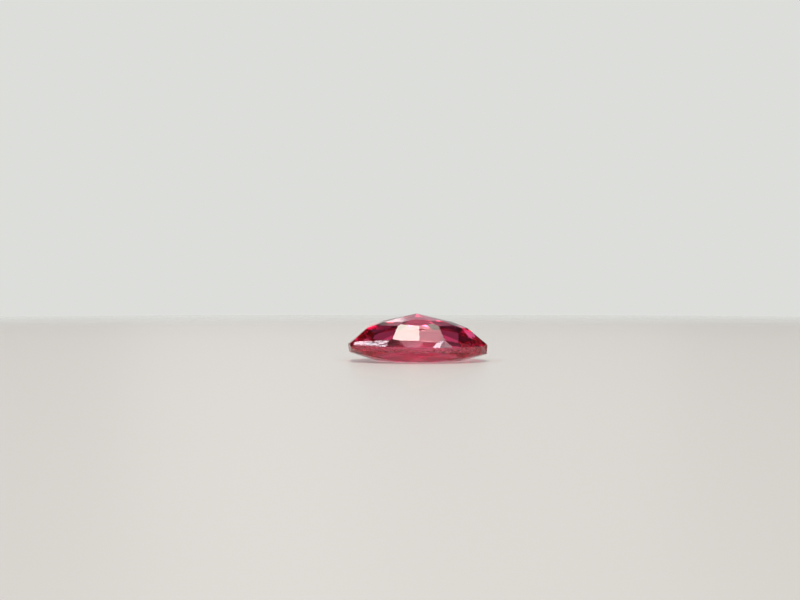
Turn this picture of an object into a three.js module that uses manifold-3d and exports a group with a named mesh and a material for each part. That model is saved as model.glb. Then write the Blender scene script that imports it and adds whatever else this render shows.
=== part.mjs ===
// An oval ruby in a mixed cut, lying on its table: a low brilliant crown underneath, a thick ground
// girdle, and a stepped pavilion that rises in four rows of facets to a point.
// Millimetres. +Z is up and X runs along the stone. The table lies in the plane Z = 0, the stone is
// centred over the origin, and its best side faces -Y.
import * as THREE from "three";
import { mergeVertices } from "three/addons/utils/BufferGeometryUtils.js";
import Module from "manifold-3d";

const wasm = await Module();
wasm.setup();

// Driving dimensions
const LENGTH = 6.0;
const WIDTH = 4.68;
const HEIGHT = 2.02;

const HALF_LENGTH = LENGTH / 2;
const HALF_WIDTH = WIDTH / 2;

// The cutter ground the table slightly out of true, so the girdle runs higher at the -X end.
const TABLE_TILT = 0.88; // degrees

// Levels of the cut. Each is an oval, as shares of the half length and half width, with its height
// at the stone's two ends and at its two sides as shares of the stone's height. offCentre is how
// far along X its centre lies.
const GIRDLE_FOOT = { long: 1.0, wide: 1.0, endHeight: 0.168, sideHeight: 0.202, offCentre: 0 };
const GIRDLE_TOP = { long: 1.0, wide: 1.0, endHeight: 0.356, sideHeight: 0.322, offCentre: 0 };
const BREAK_TOP = { long: 0.975, wide: 0.926, endHeight: 0.390, sideHeight: 0.460, offCentre: 0 };
const MAIN_TOP = { long: 0.703, wide: 0.644, endHeight: 0.715, sideHeight: 0.742, offCentre: 0 };
const UPPER_TOP = { long: 0.510, wide: 0.447, endHeight: 0.822, sideHeight: 0.877, offCentre: -0.02 };
const POINT = { long: 0.0, wide: 0.0, endHeight: 1.0, sideHeight: 1.0, offCentre: -0.06 };

// Every list below gives the way its facets face: 0 degrees is +X and 270 is the front.

// The girdle's flat sides, and the short break facets that stand on them. lean is how much further
// in the foot of that side is ground than its top, and head how much further in than the cut's own
// oval the break facet reaches at its top: less than 0 leaves it steeper.
const SIDES = [
  { faces: 0, lean: 0.03, head: 0.0 },
  { faces: 22, lean: 0.0, head: 0.0 },
  { faces: 45, lean: 0.0, head: -0.03 },
  { faces: 68, lean: 0.0, head: 0.0 },
  { faces: 84, lean: 0.0, head: 0.0 },
  { faces: 98, lean: 0.0, head: 0.0 },
  { faces: 114, lean: 0.0, head: -0.05 },
  { faces: 137, lean: 0.0, head: -0.03 },
  { faces: 160, lean: 0.03, head: 0.0 },
  { faces: 187, lean: 0.07, head: 0.0 },
  { faces: 240.5, lean: 0.0, head: -0.02 },
  { faces: 258, lean: 0.0, head: -0.05 },
  { faces: 267, lean: 0.0, head: 0.0 },
  { faces: 273, lean: 0.0, head: -0.03 },
  { faces: 284, lean: 0.0, head: -0.08 },
  { faces: 301, lean: 0.0, head: 0.0 },
  { faces: 318, lean: 0.0, head: -0.05 },
  { faces: 335, lean: 0.0, head: 0.0 },
];

// A small break facet over the girdle's corner at the -X end, its foot and head as for the mains below.
const CORNER_BREAK = { faces: 205, foot: -0.13, head: -0.15 };

// The large main facets, then the two rows above them. foot and head are how much further in than
// the cut's own ovals the cutter ground each one at its lower and its upper end. Two of the mains
// meet in the middle of the front.
const MAINS = [
  { faces: 0, foot: 0.0, head: 0.0 },
  { faces: 30, foot: 0.01, head: 0.0 },
  { faces: 60, foot: 0.0, head: 0.01 },
  { faces: 90, foot: 0.0, head: 0.0 },
  { faces: 121, foot: 0.02, head: 0.01 },
  { faces: 152, foot: 0.0, head: 0.0 },
  { faces: 183, foot: 0.03, head: -0.03 },
  { faces: 238, foot: -0.02, head: -0.02 },
  { faces: 267, foot: 0.0, head: 0.0 },
  { faces: 274, foot: 0.0, head: 0.0 },
  { faces: 305, foot: 0.03, head: 0.03 },
  { faces: 331, foot: 0.05, head: -0.03 },
];

const UPPERS = [
  ...[0, 33, 62, 92, 121, 152, 188].map(trueFacet),
  { faces: 238, foot: -0.04, head: -0.02 },
  { faces: 269, foot: -0.02, head: 0.0 },
  { faces: 303, foot: -0.03, head: 0.0 },
  { faces: 334, foot: 0.0, head: 0.0 },
];
const TOPS = [
  ...[8, 50, 92, 130, 165, 196].map(trueFacet),
  { faces: 234, foot: 0.12, head: 0.0 },
  ...[270, 306, 340].map(trueFacet),
];

// A small pit beside the edge between the two front mains. upTheFacet is its place between the
// foot and the head of the facet, as a share.
const PIT = { along: 0.15, upTheFacet: 0.76, long: 0.30, tall: 0.13, deep: 0.05 };

// The crown: eight kites reach from the table to the girdle. Between them lie a star on the
// table's edge and a pair of girdle facets, or, at the two ends, one plain facet.
const CROWN_FOLD = 8;
const TABLE_SHARE = 0.585;
const KITE_SHARE = 0.615;
const STAR_RISE = 0.56; // the height of a star's tip as a share of the crown's height

const CORNER_ROUND = 1.085; // the oval rod's size over the girdle's, which rounds its corners
const ROD_POINTS = 144;
const ROD_SPARE = 0.3; // how far below the table the rod starts
const WHEEL_SIZE = 4 * LENGTH; // a block wide enough to take off everything past one facet

const ALONG_Y = new THREE.Vector3(0, 1, 0);
const radians = THREE.MathUtils.degToRad;

function trueFacet(faces) {
  return { faces, foot: 0, head: 0 };
}

// How far an oval reaches towards a direction in plan.
function reach(halfLength, halfWidth, direction) {
  return Math.hypot(halfLength * Math.cos(direction), halfWidth * Math.sin(direction));
}

// Where a level of the cut lies, seen towards a direction: how far out, and how high.
function onLevel(level, direction) {
  const oval = reach(level.long * HALF_LENGTH, level.wide * HALF_WIDTH, direction);
  const towardsSide = Math.sin(direction) ** 2;
  return {
    out: oval + level.offCentre * Math.cos(direction),
    up: HEIGHT * THREE.MathUtils.lerp(level.endHeight, level.sideHeight, towardsSide),
  };
}

function solidOf(geometry) {
  const bare = geometry.clone();
  bare.deleteAttribute("normal");
  bare.deleteAttribute("uv");
  const merged = mergeVertices(bare, 1e-5);
  return new wasm.Manifold(
    new wasm.Mesh({
      numProp: 3,
      vertProperties: merged.attributes.position.array,
      triVerts: new Uint32Array(merged.index.array),
    }),
  );
}

function geometryOf(solid) {
  const mesh = solid.getMesh();
  const geometry = new THREE.BufferGeometry();
  geometry.setAttribute("position", new THREE.BufferAttribute(mesh.vertProperties, 3));
  geometry.setIndex(new THREE.BufferAttribute(mesh.triVerts, 1));
  return geometry.toNonIndexed();
}

// Takes off everything beyond the plane through a point, on the side that its normal points to.
function grindPlane(stone, point, normal) {
  const wheel = new THREE.BoxGeometry(WHEEL_SIZE, WHEEL_SIZE, WHEEL_SIZE);
  wheel.translate(0, 0, WHEEL_SIZE / 2);
  wheel.applyQuaternion(new THREE.Quaternion().setFromUnitVectors(new THREE.Vector3(0, 0, 1), normal));
  wheel.translate(point.x, point.y, point.z);
  return stone.subtract(solidOf(wheel));
}

// Grinds one facet whose plane runs through two points of its slope, near and far, each
// { out, up }: how far out it is towards the direction, and how high.
function grind(stone, direction, near, far) {
  const slope = new THREE.Vector2(far.out - near.out, far.up - near.up);
  const outward = Math.abs(slope.y);
  const upward = -slope.x * Math.sign(slope.y);
  const ahead = new THREE.Vector3(Math.cos(direction), Math.sin(direction), 0);
  const normal = ahead.clone().multiplyScalar(outward).setZ(upward).normalize();
  return grindPlane(stone, ahead.multiplyScalar(near.out).setZ(near.up), normal);
}

// The rod that the stone is cut from, a little larger than the girdle.
function ovalRod() {
  const outline = new THREE.Shape();
  outline.absellipse(0, 0, CORNER_ROUND * HALF_LENGTH, CORNER_ROUND * HALF_WIDTH, 0, 2 * Math.PI, false, 0);
  const rod = new THREE.ExtrudeGeometry(outline, {
    depth: HEIGHT + ROD_SPARE,
    bevelEnabled: false,
    curveSegments: ROD_POINTS,
  });
  return solidOf(rod.translate(0, 0, -ROD_SPARE));
}

function grindGirdle(stone) {
  for (const side of SIDES) {
    const direction = radians(side.faces);
    const top = onLevel(GIRDLE_TOP, direction);
    const foot = onLevel(GIRDLE_FOOT, direction);
    stone = grind(stone, direction, top, { out: foot.out - side.lean, up: foot.up });
  }
  return stone;
}

// Grinds one row of the pavilion, between two levels of the cut.
function grindRow(stone, facets, lower, upper) {
  for (const facet of facets) {
    const direction = radians(facet.faces);
    const near = onLevel(lower, direction);
    const far = onLevel(upper, direction);
    stone = grind(
      stone,
      direction,
      { out: near.out - facet.foot, up: near.up },
      { out: far.out - facet.head, up: far.up },
    );
  }
  return stone;
}

function cutPavilion(stone) {
  const breaks = SIDES.map((side) => ({ faces: side.faces, foot: 0, head: side.head }));
  stone = grindRow(stone, [...breaks, CORNER_BREAK], GIRDLE_TOP, BREAK_TOP);
  stone = grindRow(stone, MAINS, BREAK_TOP, MAIN_TOP);
  stone = grindRow(stone, UPPERS, MAIN_TOP, UPPER_TOP);
  return grindRow(stone, TOPS, UPPER_TOP, POINT);
}

function gougePit(stone) {
  const front = radians(270);
  const foot = onLevel(BREAK_TOP, front);
  const head = onLevel(MAIN_TOP, front);
  const out = THREE.MathUtils.lerp(foot.out, head.out, PIT.upTheFacet);
  const up = THREE.MathUtils.lerp(foot.up, head.up, PIT.upTheFacet);
  const facetTilt = Math.atan2(head.up - foot.up, foot.out - head.out);
  const burr = new THREE.IcosahedronGeometry(1, 1);
  burr.scale(PIT.long / 2, PIT.tall / 2, PIT.deep);
  burr.rotateX(facetTilt);
  burr.translate(PIT.along, -out, up);
  return stone.subtract(solidOf(burr));
}

// Turns a direction on a round stone into the same place's facing on the oval one.
function facingOnOval(turn) {
  return Math.atan2(HALF_LENGTH * Math.sin(turn), HALF_WIDTH * Math.cos(turn));
}

// Grinds one crown facet, given where it lies on a round stone of radius 1 with a crown of height 1.
function grindCrown(stone, turn, near, far) {
  const direction = facingOnOval(turn);
  const girdle = onLevel(GIRDLE_FOOT, direction);
  const onOval = (place) => ({ out: place.out * girdle.out, up: place.up * girdle.up });
  return grind(stone, direction, onOval(near), onOval(far));
}

function cutCrown(stone) {
  const girdle = { out: 1, up: 1 };
  const step = (2 * Math.PI) / CROWN_FOLD;
  const starTip = {
    out: THREE.MathUtils.lerp(KITE_SHARE, 1, STAR_RISE) / Math.cos(step / 2),
    up: STAR_RISE,
  };
  const pairLean = Math.cos(step / 4);
  for (let i = 0; i < CROWN_FOLD; i++) {
    const star = i * step;
    const isEnd = i % (CROWN_FOLD / 2) === 0;
    stone = grindCrown(stone, star + step / 2, girdle, { out: KITE_SHARE, up: 0 });
    stone = grindCrown(stone, star, isEnd ? girdle : starTip, { out: TABLE_SHARE, up: 0 });
    if (isEnd) {
      continue;
    }
    for (const turn of [star - step / 4, star + step / 4]) {
      stone = grindCrown(
        stone,
        turn,
        { out: pairLean, up: 1 },
        { out: starTip.out * pairLean, up: starTip.up },
      );
    }
  }
  return stone;
}

function cutTable(stone) {
  const down = new THREE.Vector3(0, 0, -1).applyAxisAngle(ALONG_Y, -radians(TABLE_TILT));
  return grindPlane(stone, new THREE.Vector3(), down);
}

// Lays the finished stone on its table and brings it to its length and width.
function layOnTable(geometry) {
  geometry.rotateY(radians(TABLE_TILT));
  geometry.computeBoundingBox();
  const centre = geometry.boundingBox.getCenter(new THREE.Vector3());
  const size = geometry.boundingBox.getSize(new THREE.Vector3());
  geometry.translate(-centre.x, -centre.y, 0);
  return geometry.scale(LENGTH / size.x, WIDTH / size.y, 1);
}

function makeRuby() {
  const material = new THREE.MeshStandardMaterial({
    color: 0xa8324f,
    roughness: 0.08,
    metalness: 0,
    flatShading: true,
  });
  const cut = cutTable(cutCrown(gougePit(cutPavilion(grindGirdle(ovalRod())))));
  const ruby = new THREE.Mesh(layOnTable(geometryOf(cut)), material);
  ruby.name = "ruby";
  return ruby;
}

const stone = new THREE.Group();
stone.add(makeRuby());

export default stone;
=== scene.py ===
import math

import bmesh
import bpy
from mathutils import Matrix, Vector, noise


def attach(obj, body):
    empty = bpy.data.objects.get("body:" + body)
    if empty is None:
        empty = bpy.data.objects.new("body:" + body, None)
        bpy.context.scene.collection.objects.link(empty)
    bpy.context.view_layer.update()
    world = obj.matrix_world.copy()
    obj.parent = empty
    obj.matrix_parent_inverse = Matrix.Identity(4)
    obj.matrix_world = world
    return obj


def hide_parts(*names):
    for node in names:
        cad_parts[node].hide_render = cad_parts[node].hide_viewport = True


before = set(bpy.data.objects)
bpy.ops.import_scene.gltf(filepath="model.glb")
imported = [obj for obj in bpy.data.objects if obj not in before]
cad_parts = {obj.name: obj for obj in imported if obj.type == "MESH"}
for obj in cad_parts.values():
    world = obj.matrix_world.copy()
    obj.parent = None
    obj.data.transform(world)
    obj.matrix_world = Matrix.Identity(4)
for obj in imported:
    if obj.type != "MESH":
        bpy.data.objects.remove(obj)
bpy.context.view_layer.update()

MM = 0.001  # the stone is modelled in millimetres and brought back to metres at the end

# The photograph is 800 pixels wide. Its view is level, a little above the stone's top.
EYE = Vector((-0.74, -43.7, 2.6)) * MM
FOCAL_PIXELS = 1013.0
PICTURE_WIDTH = 800
SENSOR_WIDTH = 36.0

# Surface work on the stone, in millimetres and degrees
MERGE_DISTANCE = 1e-4
SLIVER = 1e-3  # edges shorter than this are joined up
FLAT_ANGLE = 1.0
SHARP_ANGLE = 4.0
SOFT_ANGLE = 25.0  # ground faces that meet at less than this are shaded as one surface
FACET_MATCH = 2.5  # a face this near to a named facet's directions is that facet
WORN_WIDTH = 0.014
WORN_FROM = 0.084  # edges shorter than this stay sharp
TABLE_LEAN = -0.99  # upward part of the table's normal, at most
GIRDLE_LEAN = 0.2  # largest upward part of a girdle face's normal
GIRDLE_TOP = 0.95  # no girdle face has its middle above this height
GROUND_STEP = 0.05  # an edge of the ground surfaces longer than this is halved, pass by pass
REFINE_PASSES = 5
GROUND_RELIEF = 0.0055
GROUND_GRAIN = 9.0  # grains of noise to the millimetre
GROUND_LAYERS = 3  # the noise has this many layers, each twice as fine as the last
GROUND_BIAS = 0.5  # shifts the relief inwards
PIT_SPACING = 0.13
PIT_RADIUS = 0.03
PIT_DEPTH = 0.012
CRUMBLED_FROM = 2.6  # the crumbled end of the stone starts at this X, and ends at this height
CRUMBLED_TO = 0.82
CRUMBLE_RAMP = 0.4  # the lumps reach their full depth over this length
CRUMBLE_DEPTH = 0.15
CRUMBLE_GRAIN = 5.0
CRUMBLE_SHIFT = Vector((7, 3, 1))  # picks the place in the noise

# How ground a surface is: 0 is polished, 1 is as it came off the coarse wheel.
GROUND_GIRDLE = 0.52
GROUND_END = 0.65
DULL_CROWN = 0.06
DULL_TIP = 0.13
TIP_FROM = 1.72  # facets whose middle is above this height are the tip's
GROUND_CHIP = 0.75
WORN_EDGE = 0.35
RELIEF_FROM = 0.44  # surfaces at least this ground get modelled relief
# Break facets that weren't polished out: which way each faces, how it leans and how ground it is.
DULL_BREAKS = [
    {"facing": 241, "lean": 29, "ground": 0.45},
    {"facing": 258, "lean": 23, "ground": 0.43},
    {"facing": 268, "lean": 32, "ground": 0.38},
    {"facing": 273, "lean": 27, "ground": 0.38},
]
# The chipped break facet: polished up to a slanting line, broken beyond it.
CHIPPED_BREAK = {"facing": 284, "lean": 17, "through": Vector((1.05, -2.3, 0.9)), "slant": -35}


def facing_and_lean(normal):
    """Compass direction of a facet, from +X towards +Y, and its lean towards the sky, in degrees."""
    facing = math.degrees(math.atan2(normal.y, normal.x)) % 360
    lean = math.degrees(math.asin(max(-1.0, min(1.0, normal.z))))
    return facing, lean


def open_stone():
    """The stone as flat facets, in millimetres."""
    bm = bmesh.new()
    bm.from_mesh(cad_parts["ruby"].data)
    bmesh.ops.scale(bm, vec=Vector((1, 1, 1)) / MM, verts=bm.verts)
    bmesh.ops.remove_doubles(bm, verts=bm.verts, dist=MERGE_DISTANCE)
    bmesh.ops.dissolve_degenerate(bm, dist=SLIVER, edges=bm.edges)
    bmesh.ops.dissolve_limit(
        bm, angle_limit=math.radians(FLAT_ANGLE), verts=bm.verts, edges=bm.edges
    )
    bm.normal_update()
    return bm


def is_girdle(face):
    return abs(face.normal.z) < GIRDLE_LEAN and face.calc_center_median().z < GIRDLE_TOP


def is_crown(face):
    return TABLE_LEAN < face.normal.z < -GIRDLE_LEAN


def is_crumbled(face):
    """The small faces at the +X end, all but the crown's."""
    middle = face.calc_center_median()
    return middle.x > CRUMBLED_FROM and middle.z < CRUMBLED_TO and not is_crown(face)


def lies_as(face, facet):
    """Whether a face lies as one of the facets named above."""
    facing, lean = facing_and_lean(face.normal)
    turned, tilted = abs(facing - facet["facing"]), abs(lean - facet["lean"])
    return turned < FACET_MATCH and tilted < FACET_MATCH


def mark_ground(bm):
    """Gives each face its finish, from polished to ground."""
    finish = bm.faces.layers.float.new("ground")
    for face in bm.faces:
        if is_girdle(face):
            face[finish] = GROUND_GIRDLE
        elif is_crown(face):
            face[finish] = DULL_CROWN
        elif face.calc_center_median().z > TIP_FROM:
            face[finish] = DULL_TIP
        for dull in DULL_BREAKS:
            if lies_as(face, dull):
                face[finish] = dull["ground"]
        if is_crumbled(face):
            face[finish] = GROUND_END
    return finish


def mark_chip(bm, finish):
    """Splits the chipped facet along its line, and leaves the part beyond it broken."""
    slant = math.radians(CHIPPED_BREAK["slant"])
    across = Vector((math.cos(slant), 0, math.sin(slant)))
    facet = [face for face in bm.faces if lies_as(face, CHIPPED_BREAK)]
    around = dict.fromkeys(item for face in facet for item in (*face.edges, *face.verts))
    parts = [*facet, *around]
    bmesh.ops.bisect_plane(bm, geom=parts, plane_co=CHIPPED_BREAK["through"], plane_no=across)
    bm.normal_update()
    for face in bm.faces:
        beyond = (face.calc_center_median() - CHIPPED_BREAK["through"]).dot(across) > 0
        if lies_as(face, CHIPPED_BREAK) and beyond:
            face[finish] = GROUND_CHIP


def wear_edges(bm, finish):
    """Takes the sharpness off the edges between polished facets."""
    edges = []
    for edge in bm.edges:
        sharp = edge.calc_face_angle(0) > math.radians(SHARP_ANGLE)
        long_enough = edge.calc_length() > WORN_FROM
        polished = all(face[finish] <= DULL_TIP for face in edge.link_faces)
        if sharp and long_enough and polished:
            edges.append(edge)
    worn = bmesh.ops.bevel(
        bm, geom=edges, offset=WORN_WIDTH, offset_type="OFFSET", affect="EDGES",
        segments=1, profile=0.5, material=-1, clamp_overlap=True,
    )
    for face in worn["faces"]:
        face[finish] = WORN_EDGE


def refine_ground(bm, finish):
    """Cuts the ground faces small, so that their relief can be modelled."""
    for _ in range(REFINE_PASSES):
        ground = [face for face in bm.faces if face[finish] >= RELIEF_FROM]
        bmesh.ops.triangulate(bm, faces=ground)
        ground = [face for face in bm.faces if face[finish] >= RELIEF_FROM]
        edges = dict.fromkeys(edge for face in ground for edge in face.edges)
        long_edges = [edge for edge in edges if edge.calc_length() > GROUND_STEP]
        bmesh.ops.subdivide_edges(bm, edges=long_edges, cuts=1)


def rough_noise(place):
    return noise.fractal(place, 1.0, 2.0, GROUND_LAYERS)


def pit_depth(place):
    """Depth of the small pits strewn over a ground surface."""
    nearest = noise.voronoi(place / PIT_SPACING)[0][0] * PIT_SPACING
    return PIT_DEPTH * max(0.0, 1 - (nearest / PIT_RADIUS) ** 2)


def crumble_depth(place):
    """Depth of the lumps broken out of the girdle's +X end."""
    share = min(1.0, max(0.0, (place.x - CRUMBLED_FROM) / CRUMBLE_RAMP))
    lump = rough_noise(place * CRUMBLE_GRAIN + CRUMBLE_SHIFT)
    return CRUMBLE_DEPTH * share * max(0.0, lump)


def roughen_ground(bm, finish):
    """Presses relief and pits into the ground surfaces. Where they meet polish they stay put."""
    bm.normal_update()
    moves = {}
    for vert in bm.verts:
        if all(face[finish] >= RELIEF_FROM for face in vert.link_faces):
            fine = GROUND_RELIEF * (GROUND_BIAS + rough_noise(vert.co * GROUND_GRAIN))
            moves[vert] = vert.normal * -(fine + pit_depth(vert.co) + crumble_depth(vert.co))
    for vert, move in moves.items():
        vert.co += move


def shade_faces(bm, finish):
    """Keeps the edges between facets crisp, and shades each ground surface as one."""
    for face in bm.faces:
        face.smooth = True
    for edge in bm.edges:
        ground = all(face[finish] >= RELIEF_FROM for face in edge.link_faces)
        limit = SOFT_ANGLE if ground else FLAT_ANGLE
        edge.smooth = edge.calc_face_angle(0) < math.radians(limit)


def make_ruby():
    """The finished stone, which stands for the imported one."""
    bm = open_stone()
    finish = mark_ground(bm)
    mark_chip(bm, finish)
    wear_edges(bm, finish)
    refine_ground(bm, finish)
    roughen_ground(bm, finish)
    bmesh.ops.triangulate(bm, faces=bm.faces)
    shade_faces(bm, finish)
    bmesh.ops.scale(bm, vec=Vector((1, 1, 1)) * MM, verts=bm.verts)
    mesh = bpy.data.meshes.new("faceted_ruby")
    bm.to_mesh(mesh)
    bm.free()
    stone = bpy.data.objects.new("faceted_ruby", mesh)
    bpy.context.scene.collection.objects.link(stone)
    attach(stone, "root")
    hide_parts("ruby")
    return stone


# The crystal. Scales are in grains to the metre along X, Y and Z.
POLISH_LINES = (500, 500, 11000)
POLISH_DETAIL = 3.0
POLISH_ROUGHNESS = (0.015, 0.05)
POLISH_HEIGHT = (0.0, 0.12)
GRIND_GRAIN = (4500, 4500, 18000)
GRIND_DETAIL = 4.0
GRIND_ROUGHNESS = (0.25, 0.65)
GRIND_HEIGHT = (0.0, 0.7)
BUMP_DEPTH = 4e-6
SURFACE_TINT = (1.0, 0.98, 0.985)
RUBY_IOR = 1.77
RUBY_PASSES = (0.908, 0.080, 0.440)
RUBY_DENSITY = 650.0


def add_node(tree, kind, **settings):
    """A shader node, with its own settings made at once."""
    made = tree.nodes.new("ShaderNode" + kind)
    for name, value in settings.items():
        setattr(made, name, value)
    return made


def new_material(name):
    material = bpy.data.materials.new(name)
    material.use_nodes = True
    material.node_tree.nodes.clear()
    return material, material.node_tree


def stretched_noise(tree, place, scale, detail):
    """Noise whose grain is stretched by different scales along X, Y and Z."""
    spread = add_node(tree, "Mapping")
    spread.inputs["Scale"].default_value = scale
    tree.links.new(place, spread.inputs["Vector"])
    grain = add_node(tree, "TexNoise")
    grain.inputs["Scale"].default_value = 1.0
    grain.inputs["Detail"].default_value = detail
    tree.links.new(spread.outputs["Vector"], grain.inputs["Vector"])
    return grain.outputs["Fac"]


def ranged(tree, value, low, high):
    """Brings a value from 0 and 1 to low and high."""
    spread = add_node(tree, "MapRange")
    spread.inputs["To Min"].default_value = low
    spread.inputs["To Max"].default_value = high
    tree.links.new(value, spread.inputs["Value"])
    return spread.outputs["Result"]


def mixed(tree, share, first, second):
    """first where share is 0, second where it is 1."""
    mix = add_node(tree, "Mix", data_type="FLOAT")
    tree.links.new(share, mix.inputs["Factor"])
    tree.links.new(first, mix.inputs["A"])
    tree.links.new(second, mix.inputs["B"])
    return mix.outputs["Result"]


def bumped(tree, height, distance):
    """A surface normal that follows a height."""
    bump = add_node(tree, "Bump")
    bump.inputs["Distance"].default_value = distance
    tree.links.new(height, bump.inputs["Height"])
    return bump.outputs["Normal"]


def ruby_material():
    """Clear red crystal. Its roughness and relief differ between polished and ground faces."""
    material, tree = new_material("ruby_crystal")
    place = add_node(tree, "TexCoord").outputs["Object"]
    finish = add_node(tree, "Attribute", attribute_name="ground").outputs["Fac"]
    lines = stretched_noise(tree, place, POLISH_LINES, POLISH_DETAIL)
    grain = stretched_noise(tree, place, GRIND_GRAIN, GRIND_DETAIL)
    polished = ranged(tree, lines, *POLISH_ROUGHNESS)
    ground = ranged(tree, grain, *GRIND_ROUGHNESS)

    surface = add_node(tree, "BsdfPrincipled")
    surface.inputs["Base Color"].default_value = (*SURFACE_TINT, 1.0)
    surface.inputs["IOR"].default_value = RUBY_IOR
    surface.inputs["Transmission Weight"].default_value = 1.0
    tree.links.new(mixed(tree, finish, polished, ground), surface.inputs["Roughness"])
    scratches = ranged(tree, lines, *POLISH_HEIGHT)
    pits = ranged(tree, grain, *GRIND_HEIGHT)
    height = mixed(tree, finish, scratches, pits)
    tree.links.new(bumped(tree, height, BUMP_DEPTH), surface.inputs["Normal"])

    body = add_node(tree, "VolumeAbsorption")
    body.inputs["Color"].default_value = (*RUBY_PASSES, 1.0)
    body.inputs["Density"].default_value = RUBY_DENSITY

    out = add_node(tree, "OutputMaterial")
    tree.links.new(surface.outputs["BSDF"], out.inputs["Surface"])
    tree.links.new(body.outputs["Volume"], out.inputs["Volume"])
    return material


# Floor, studio and camera
FLOOR_GAP = 0.02 * MM
FLOOR_SIDES = 96
FLOOR_RADIUS = 140 * MM
FLOOR_FADES_FROM = 60 * MM
FLOOR_COLOUR = (0.53, 0.515, 0.495)
FLOOR_ROUGHNESS = 0.4
FLOOR_GLOW = (0.15, 0.145, 0.14)  # a faint even light of the paper's own keeps it pale
PALE = (0.72, 0.73, 0.705)
CEILING = (0.030, 0.028, 0.032)
PALE_BAND = (0.11, 0.15)  # upward part of the directions where the pale band ends
LIGHT_DISTANCE = 0.40
LIGHT_STAGGER = 0.03  # each light of a group stands or hangs a little nearer than the last

# Lights that hang level over the stone: middle and size as shares of their height, then brightness.
HUNG_LIGHTS = [
    {"name": "key", "middle": (-0.051, -0.146), "size": (0.44, 0.547), "turn": -15, "bright": 8.6},
    {"name": "wing", "middle": (0.12, 0.08), "size": (0.08, 0.14), "turn": 0, "bright": 2.1},
    {"name": "wing_end", "middle": (0.12, 0.16), "size": (0.08, 0.09), "turn": 0, "bright": 1.1},
    {"name": "near_slope", "middle": (0.0, 0.248), "size": (0.60, 0.185), "turn": 0, "bright": 0.47},
    {"name": "far_slope", "middle": (0.0, 0.435), "size": (0.60, 0.19), "turn": 0, "bright": 0.80},
    {"name": "last_slope", "middle": (0.0, 0.595), "size": (0.60, 0.13), "turn": 0, "bright": 0.15},
]
# Cards that stand behind the stone: middle and size as shares of their distance, then brightness.
STANDING_LIGHTS = [
    {"name": "wide_card", "middle": (0.0, 1.025), "size": (1.08, 1.75), "bright": 0.25},
    {"name": "inner_card", "middle": (0.09, 0.575), "size": (0.42, 0.85), "bright": 0.27},
    {"name": "side_card", "middle": (-0.21, 0.725), "size": (0.18, 1.15), "bright": 0.40},
    {"name": "small_lamp", "middle": (-0.094, 0.46), "size": (0.055, 0.10), "bright": 1.9},
]
# Lights that are turned to the stone: compass direction from +Y towards +X, height over the
# horizon and extent, all in degrees, then brightness.
AIMED_LIGHTS = [
    {"name": "back_left", "azimuth": -69, "height": 21, "wide": 36, "tall": 18, "bright": 1.3},
    {"name": "left", "azimuth": -107.5, "height": 40.5, "wide": 12, "tall": 11, "bright": 20.0},
    {"name": "front", "azimuth": 147, "height": 31, "wide": 18, "tall": 14, "bright": 10.0},
    {"name": "front_wing", "azimuth": 133, "height": 31, "wide": 10, "tall": 14, "bright": 3.0},
    {"name": "fill", "azimuth": -172, "height": 52, "wide": 34, "tall": 28, "bright": 1.3},
    {"name": "right_fill", "azimuth": 90, "height": 42, "wide": 40, "tall": 25, "bright": 0.13},
    {"name": "low_front", "azimuth": 180, "height": 13, "wide": 80, "tall": 18, "bright": 0.8},
]
COOL = (0.93, 0.91, 1.0)
WARM = (0.98, 0.96, 0.84)
WHITE = (1.0, 1.0, 1.0)

SEEN_FROM = 0.5 * MM  # the camera sees from here to there
SEEN_TO = 10.0


def floor_material():
    """Plain pale satin paper, which fades into the pale surroundings at its rim."""
    material, tree = new_material("pale_floor")
    place = add_node(tree, "TexCoord").outputs["Object"]
    distance = add_node(tree, "VectorMath", operation="LENGTH")
    tree.links.new(place, distance.inputs[0])
    share = add_node(tree, "MapRange")
    share.inputs["From Min"].default_value = FLOOR_FADES_FROM
    share.inputs["From Max"].default_value = FLOOR_RADIUS
    tree.links.new(distance.outputs["Value"], share.inputs["Value"])
    paper = add_node(tree, "BsdfPrincipled")
    paper.inputs["Base Color"].default_value = (*FLOOR_COLOUR, 1.0)
    paper.inputs["Roughness"].default_value = FLOOR_ROUGHNESS
    paper.inputs["Emission Color"].default_value = (*FLOOR_GLOW, 1.0)
    paper.inputs["Emission Strength"].default_value = 1.0
    clear = add_node(tree, "BsdfTransparent")
    mix = add_node(tree, "MixShader")
    tree.links.new(share.outputs["Result"], mix.inputs["Fac"])
    tree.links.new(paper.outputs["BSDF"], mix.inputs[1])
    tree.links.new(clear.outputs["BSDF"], mix.inputs[2])
    out = add_node(tree, "OutputMaterial")
    tree.links.new(mix.outputs["Shader"], out.inputs["Surface"])
    return material


def make_floor():
    bm = bmesh.new()
    bmesh.ops.create_circle(bm, cap_ends=True, segments=FLOOR_SIDES, radius=FLOOR_RADIUS)
    bmesh.ops.translate(bm, vec=(0, 0, -FLOOR_GAP), verts=bm.verts)
    mesh = bpy.data.meshes.new("floor")
    bm.to_mesh(mesh)
    bm.free()
    mesh.materials.append(floor_material())
    floor = bpy.data.objects.new("floor", mesh)
    bpy.context.scene.collection.objects.link(floor)


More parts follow.
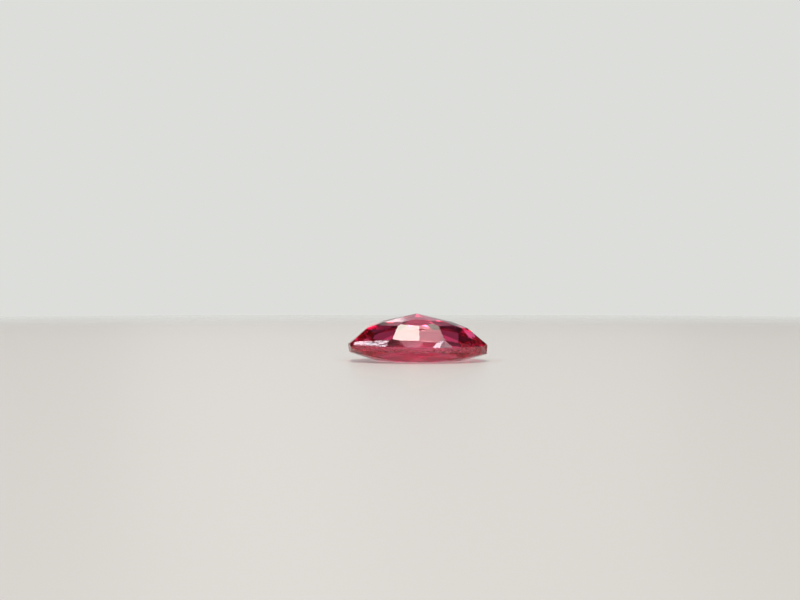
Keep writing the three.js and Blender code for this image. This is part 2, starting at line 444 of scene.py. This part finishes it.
def light_world():
    """Pale surroundings. What the stone mirrors is pale only up to a low height, and dim above it."""
    world = bpy.data.worlds.new("studio")
    bpy.context.scene.world = world
    world.use_nodes = True
    tree = world.node_tree
    tree.nodes.clear()
    direction = add_node(tree, "TexCoord").outputs["Generated"]
    parts = add_node(tree, "SeparateXYZ")
    tree.links.new(direction, parts.inputs["Vector"])
    height = add_node(tree, "MapRange", interpolation_type="SMOOTHSTEP")
    height.inputs["From Min"].default_value = PALE_BAND[0]
    height.inputs["From Max"].default_value = PALE_BAND[1]
    tree.links.new(parts.outputs["Z"], height.inputs["Value"])
    room = add_node(tree, "Mix", data_type="RGBA")
    room.inputs["A"].default_value = (*PALE, 1)
    room.inputs["B"].default_value = (*CEILING, 1)
    tree.links.new(height.outputs["Result"], room.inputs["Factor"])
    seen = add_node(tree, "Mix", data_type="RGBA")
    seen.inputs["B"].default_value = (*PALE, 1)
    tree.links.new(add_node(tree, "LightPath").outputs["Is Camera Ray"], seen.inputs["Factor"])
    tree.links.new(room.outputs["Result"], seen.inputs["A"])
    glow = add_node(tree, "Background")
    tree.links.new(seen.outputs["Result"], glow.inputs["Color"])
    out = add_node(tree, "OutputWorld")
    tree.links.new(glow.outputs["Background"], out.inputs["Surface"])


def softbox(name, place, turns, size, bright, colour):
    """A soft rectangle of light of a given brightness, which the camera itself doesn't see."""
    light = bpy.data.lights.new(name, "AREA")
    light.shape = "RECTANGLE"
    light.size, light.size_y = size
    light.color = colour
    light.energy = bright * math.pi * light.size * light.size_y
    box = bpy.data.objects.new(name, light)
    box.location = place
    box.rotation_euler = turns
    box.visible_camera = False
    bpy.context.scene.collection.objects.link(box)


def light_studio():
    """The lights over the stone, the cards behind it, and the lights around it."""
    for order, lamp in enumerate(HUNG_LIGHTS):
        distance = LIGHT_DISTANCE * (1 - LIGHT_STAGGER * order)
        place = Vector((*lamp["middle"], 1.0)) * distance
        size = [side * distance for side in lamp["size"]]
        softbox(lamp["name"], place, (0, 0, math.radians(lamp["turn"])), size, lamp["bright"], WARM)
    for order, lamp in enumerate(STANDING_LIGHTS):
        distance = LIGHT_DISTANCE * (1 - LIGHT_STAGGER * order)
        place = Vector((lamp["middle"][0], 1.0, lamp["middle"][1])) * distance
        size = [side * distance for side in lamp["size"]]
        softbox(lamp["name"], place, (math.radians(-90), 0, 0), size, lamp["bright"], WHITE)
    for lamp in AIMED_LIGHTS:
        azimuth, height = math.radians(lamp["azimuth"]), math.radians(lamp["height"])
        level = math.cos(height)
        aim = Vector((math.sin(azimuth) * level, math.cos(azimuth) * level, math.sin(height)))
        spread = [2 * math.tan(math.radians(lamp[side]) / 2) for side in ("wide", "tall")]
        size = [spread[0] * level * LIGHT_DISTANCE, spread[1] * LIGHT_DISTANCE]
        turns = aim.to_track_quat("Z", "Y").to_euler()
        softbox(lamp["name"], aim * LIGHT_DISTANCE, turns, size, lamp["bright"], COOL)


def make_camera():
    lens = bpy.data.cameras.new("camera")
    lens.sensor_width = SENSOR_WIDTH
    lens.lens = FOCAL_PIXELS / PICTURE_WIDTH * SENSOR_WIDTH
    lens.clip_start = SEEN_FROM
    lens.clip_end = SEEN_TO
    camera = bpy.data.objects.new("camera", lens)
    camera.location = EYE
    camera.rotation_euler = (math.radians(90), 0, 0)
    bpy.context.scene.collection.objects.link(camera)
    bpy.context.scene.camera = camera


def set_light_paths():
    """Light may turn many times inside the stone."""
    scene = bpy.context.scene
    scene.view_settings.view_transform = "Standard"
    scene.cycles.max_bounces = 24
    scene.cycles.glossy_bounces = 16
    scene.cycles.transmission_bounces = 24
    scene.cycles.blur_glossy = 0.0


stone = make_ruby()
stone.data.materials.append(ruby_material())
make_floor()
light_world()
light_studio()
make_camera()
set_light_paths()
